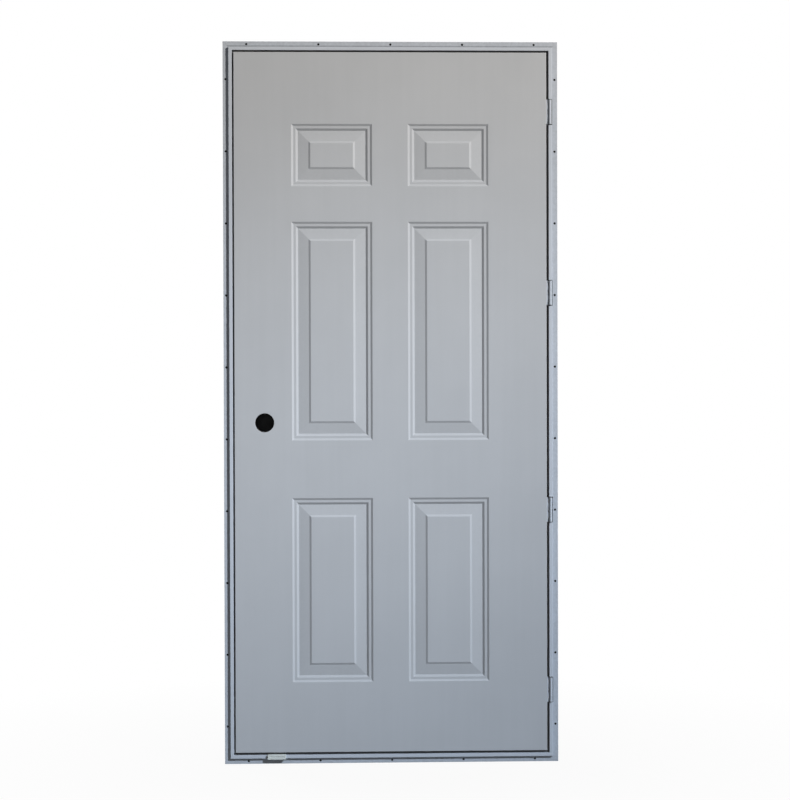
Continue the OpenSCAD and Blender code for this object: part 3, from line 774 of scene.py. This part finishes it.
# %% Both skins
SKIN_WALL = 0.0006
OUTER_FOLD = 0.0032
INNER_FOLD = 0.005
for node, low, high, face_y, outwards, fold, material in (
    ("outer_skin", leaf_low, leaf_high, leaf_low.y, -1, OUTER_FOLD, leaf_outside),
    ("inner_skin", room_low, room_high, room_high.y, 1, INNER_FOLD, leaf_inside),
):
    bm = pressed_sheet(low, high, face_y, outwards)
    punch_lock_hole(bm, face_y)
    fold_edges(bm, low, high, outwards, fold)
    made = piece(node + "_pressed", bm, "leaf", material, wall=SKIN_WALL)
    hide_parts(node)

# %% [markdown]
# ## Screws
#
# The screws have countersunk heads with a cross recess. One screw is modelled along Z: the
# recess is five squares of a grid that are extruded down and drawn together, a bridge joins
# the grid to the round rim, and the cone, shank and tip are extruded from the rim. Copies of
# it go where the CAD screws are.

# %% One screw
HEAD_RADIUS = 0.0035
SHANK_RADIUS = 0.0018
TIP_RADIUS = 0.0002
TIP_LENGTH = 0.0036
CROSS_HALF = 0.0014
CROSS_DEPTH = 0.0011
CROSS_TAPER = 0.6
SAME_SCREW_POINT = 1e-7


def in_cross(face):
    at = face.calc_center_median()
    return min(abs(at.x), abs(at.y)) < ON_LINE


def screw_mesh(length):
    bm = bmesh.new()
    bmesh.ops.create_grid(bm, x_segments=3, y_segments=3, size=CROSS_HALF)
    cross = [f for f in bm.faces if in_cross(f)]
    made = bmesh.ops.extrude_face_region(bm, geom=cross)["geom"]
    bmesh.ops.delete(bm, geom=cross, context="FACES")
    floor_verts = [g for g in made if isinstance(g, bmesh.types.BMVert)]
    bmesh.ops.translate(bm, verts=floor_verts, vec=(0, 0, -CROSS_DEPTH))
    bmesh.ops.scale(bm, verts=floor_verts, vec=(CROSS_TAPER, CROSS_TAPER, 1))
    edge_loop = [e for e in bm.edges if e.is_valid and e.is_boundary]
    bmesh.ops.subdivide_edges(bm, edges=edge_loop, cuts=1)
    edge_loop = [e for e in bm.edges if e.is_boundary]
    ring = bmesh.ops.create_circle(bm, cap_ends=False, radius=HEAD_RADIUS, segments=24)["verts"]
    rim = list({e for v in ring for e in v.link_edges})
    bmesh.ops.bridge_loops(bm, edges=edge_loop + rim)
    cone = HEAD_RADIUS - SHANK_RADIUS
    shank = length - cone - TIP_LENGTH
    for radius, drop in ((SHANK_RADIUS, cone), (SHANK_RADIUS, shank), (TIP_RADIUS, TIP_LENGTH)):
        made = bmesh.ops.extrude_edge_only(bm, edges=rim)["geom"]
        rim = [g for g in made if isinstance(g, bmesh.types.BMEdge)]
        ring = [g for g in made if isinstance(g, bmesh.types.BMVert)]
        shrink = radius / Vector(ring[0].co.xy).length
        bmesh.ops.scale(bm, verts=ring, vec=(shrink, shrink, 1))
        bmesh.ops.translate(bm, verts=ring, vec=(0, 0, -drop))
    bmesh.ops.edgeloop_fill(bm, edges=rim)
    bmesh.ops.remove_doubles(bm, verts=bm.verts, dist=SAME_SCREW_POINT)
    bmesh.ops.recalc_face_normals(bm, faces=bm.faces)
    mesh = bpy.data.meshes.new("screw")
    bm.to_mesh(mesh)
    bm.free()
    return mesh


# %% Copies where the CAD screws are
def separate_boxes(node):
    bm = merged_copy(node)
    left_over = set(bm.verts)
    while left_over:
        group, front = set(), [next(iter(left_over))]
        while front:
            vert = front.pop()
            if vert not in group:
                group.add(vert)
                front.extend(e.other_vert(vert) for e in vert.link_edges)
        left_over -= group
        along_axes = list(zip(*(v.co for v in group)))
        yield Vector([min(a) for a in along_axes]), Vector([max(a) for a in along_axes])
    bm.free()


def screws_for(node, body, facing):
    boxes = sorted(separate_boxes(node), key=lambda b: tuple(round(c, 4) for c in b[0]))
    all_screws = bmesh.new()
    for low, high in boxes:
        size = high - low
        axis = max(range(3), key=lambda a: size[a])
        head = (low + high) / 2
        towards = Vector((0, 0, 0))
        towards[axis] = 1 if facing[axis] > head[axis] else -1
        head[axis] += towards[axis] * size[axis] / 2
        turn = towards.to_track_quat("Z", "Y").to_matrix().to_4x4()
        one = screw_mesh(size[axis])
        one.transform(Matrix.Translation(head) @ turn)
        all_screws.from_mesh(one)
        bpy.data.meshes.remove(one)
    made = piece(node + "_cross", all_screws, body, zinc)
    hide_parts(node)
    print(node, "screws:", len(boxes))


# The heads of each set face a point: the middle of the opening, the weather side or the hinges
FRAME_HEIGHT = 2.05
screws_for("corner_screws", "frame", Vector((0, 0, FRAME_HEIGHT / 2)))
screws_for("hinge_frame_screws", "frame", Vector((0, -1, FRAME_HEIGHT / 2)))
screws_for("hinge_leaf_screws", "leaf", Vector((1, 0, FRAME_HEIGHT / 2)))

# %% [markdown]
# ## Sill clip, bore cover, tape and plugs
# A cream plastic clip is snapped over the sill's rib. It starts as the outline of its U, is
# extruded to its width, and gets a shallow slot along its front. The black cup that closes
# the lock hole is one outline that is spun round the hole's axis: a disc on the room side and a
# thin sleeve through the hole. Its near-black colour and the sleeve are painted shade: they make
# the hole read as dark inside. The near-black tape behind the fin closes the screw holes and the
# slits beside the hinges from the back, so they look dark: a dark sheet as painted shade. Small
# rubber plugs close the ends of each hinge's notch and show as a dark line above and below the
# barrel, painted shade in these gaps.

# %% Sill clip
CLIP_WALL = 0.0019
CLIP_FRONT = 0.003
CLIP_BULGE = 0.003
CLIP_ROUND = 0.0005
CORNER_ANGLE = math.radians(60)
clip_low, clip_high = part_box("sill_clip")
front_y = clip_low.y - CLIP_BULGE
rib_side = clip_low.y + CLIP_FRONT
bm = bmesh.new()
outline = (
    (clip_high.y, clip_low.z), (clip_high.y, clip_low.z + CLIP_WALL),
    (rib_side, clip_low.z + CLIP_WALL), (rib_side, clip_high.z - CLIP_WALL),
    (clip_high.y, clip_high.z - CLIP_WALL), (clip_high.y, clip_high.z),
    (front_y, clip_high.z), (front_y, clip_low.z),
)
end = bm.faces.new([bm.verts.new((clip_low.x, y, z)) for y, z in outline])
made = bmesh.ops.extrude_face_region(bm, geom=[end])["geom"]
far = [g for g in made if isinstance(g, bmesh.types.BMVert)]
bmesh.ops.translate(bm, verts=far, vec=(clip_high.x - clip_low.x, 0, 0))
bmesh.ops.recalc_face_normals(bm, faces=bm.faces)
outside = [e for e in bm.edges if e.calc_face_angle() > CORNER_ANGLE]
print("Clip before its slot:", len(bm.faces), "faces")

# %% Slot along the clip's front
SLOT_LEFT, SLOT_RIGHT = clip_low.x + 0.007, clip_high.x - 0.004
SLOT_HALF, SLOT_RIM, SLOT_DEPTH = 0.0014, 0.0003, 0.0016
SLOT_Z = (clip_low.z + clip_high.z) / 2 + 0.0002
FRONT_LIMIT = front_y + 1e-4
FACING_OUT = -0.9


def clip_front():
    facing = [f for f in bm.faces if f.normal.y < FACING_OUT]
    return [f for f in facing if f.calc_center_median().y < FRONT_LIMIT]


for x in (SLOT_LEFT, SLOT_RIGHT):
    cut(bm, clip_front(), (x, 0, 0), (1, 0, 0))
for z in (SLOT_Z - SLOT_HALF, SLOT_Z + SLOT_HALF):
    cut(bm, clip_front(), (0, 0, z), (0, 0, 1))
slot_middle = Vector(((clip_low.x + clip_high.x) / 2, front_y, SLOT_Z))
slot = [min(clip_front(), key=lambda f: (f.calc_center_median() - slot_middle).length)]
bmesh.ops.inset_individual(
    bm, faces=slot, thickness=SLOT_RIM, depth=-SLOT_DEPTH, use_even_offset=True
)
soften(bm, [e for e in outside if e.is_valid], CLIP_ROUND, 3)
clip = piece("sill_clip_moulded", bm, "frame", clip_plastic)
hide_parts("sill_clip")

# %% Bore cover, near-black, standing in for the shade inside the lock hole
cover_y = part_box("bore_cover")[0].y
# The sleeve lines the hole's wall so that it shows near-black: painted shade inside the hole
SLEEVE_INNER, SLEEVE_OUTER = 0.0259, 0.0267
SLEEVE_FRONT = leaf_low.y + 0.0012 - cover_y
# Radius and height of each point, from the axis out along the front and back along the rear
section = (
    (0, 0), (SLEEVE_INNER, 0), (SLEEVE_INNER, SLEEVE_FRONT), (SLEEVE_OUTER, SLEEVE_FRONT),
    (SLEEVE_OUTER, 0), (0.033, 0), (0.033, 0.0004), (0.0322, 0.001), (0.0305, 0.0012),
    (0.024, 0.0012), (0.0233, 0.0008), (0, 0.0008),
)
bm = bmesh.new()
line = [bm.verts.new((LOCK_X + r, cover_y + h, LOCK_Z)) for r, h in section]
edges = [bm.edges.new(pair) for pair in zip(line, line[1:])]
bmesh.ops.spin(
    bm, geom=line + edges, cent=(LOCK_X, 0, LOCK_Z), axis=(0, 1, 0),
    angle=math.radians(360), steps=64, use_merge=True, use_duplicate=False,
)
bmesh.ops.remove_doubles(bm, verts=bm.verts, dist=SAME_POINT)
bmesh.ops.recalc_face_normals(bm, faces=bm.faces)
cover = piece("bore_cover_spun", bm, "leaf", cover_plastic)
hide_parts("bore_cover")

# %% Near-black tape behind the fin, painted shade seen through its holes
frame_low, frame_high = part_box("latch_jamb")[0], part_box("hinge_jamb")[1]
TAPE_WIDTH = 0.0139
TAPE_INSET = 0.002
TAPE_END = TAPE_INSET + TAPE_WIDTH + 0.0004
TAPE_FRONT = 0.0001
TAPE_THICKNESS = 0.0008
TAPE_ROUND = 0.0003
tape_left, tape_right = frame_low.x + TAPE_INSET, frame_high.x - TAPE_INSET
tape_low, tape_high = TAPE_INSET, FRAME_HEIGHT - TAPE_INSET
end_left, end_right = frame_low.x + TAPE_END, frame_high.x - TAPE_END
bm = bmesh.new()
for low_x, high_x, low_z, high_z in (
    (tape_left, tape_left + TAPE_WIDTH, tape_low, tape_high),
    (tape_right - TAPE_WIDTH, tape_right, tape_low, tape_high),
    (end_left, end_right, tape_low, tape_low + TAPE_WIDTH),
    (end_left, end_right, tape_high - TAPE_WIDTH, tape_high),
):
    lie = (
        Matrix.Translation(((low_x + high_x) / 2, TAPE_FRONT, (low_z + high_z) / 2))
        @ Matrix.Diagonal((high_x - low_x, 1, high_z - low_z, 1))
        @ Matrix.Rotation(QUARTER_TURN, 4, "X")
    )
    strip = bmesh.ops.create_grid(bm, x_segments=1, y_segments=1, size=0.5, matrix=lie)["verts"]
    face = strip[0].link_faces[0]
    made = bmesh.ops.extrude_face_region(bm, geom=[face])["geom"]
    back = [g for g in made if isinstance(g, bmesh.types.BMVert)]
    bmesh.ops.translate(bm, verts=back, vec=(0, TAPE_THICKNESS, 0))
bmesh.ops.recalc_face_normals(bm, faces=bm.faces)
middle_y = TAPE_FRONT + TAPE_THICKNESS / 2
back_edges = [e for e in bm.edges if all(v.co.y > middle_y for v in e.verts)]
soften(bm, back_edges, TAPE_ROUND, 2)
piece("fin_shade_tape", bm, "frame", shade_tape_butyl)

# %% Rubber plugs in the hinge notches, near-black as painted shade in the gaps
# The plugs are near-black so the gaps at the barrel's ends read as shade: painted shade
PLUG_SIZE = Vector((0.0094, 0.0072, 0.0016))
PLUG_GAP = 0.00035
PLUG_ROUND = 0.0003
PLUG_X = frame_high.x - 0.021
PLUG_Y = -0.0053
bm = bmesh.new()
for i in HINGES:
    low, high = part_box("hinge_" + str(i) + "_frame_leaf")
    for z in (low.z - PLUG_GAP - PLUG_SIZE.z / 2, high.z + PLUG_GAP + PLUG_SIZE.z / 2):
        sit = Matrix.Translation((PLUG_X, PLUG_Y, z)) @ Matrix.Diagonal((*PLUG_SIZE, 1))
        bmesh.ops.create_cube(bm, size=1, matrix=sit)
soften(bm, bm.edges, PLUG_ROUND, 2)
piece("hinge_notch_shade_plugs", bm, "frame", shade_tape_butyl)
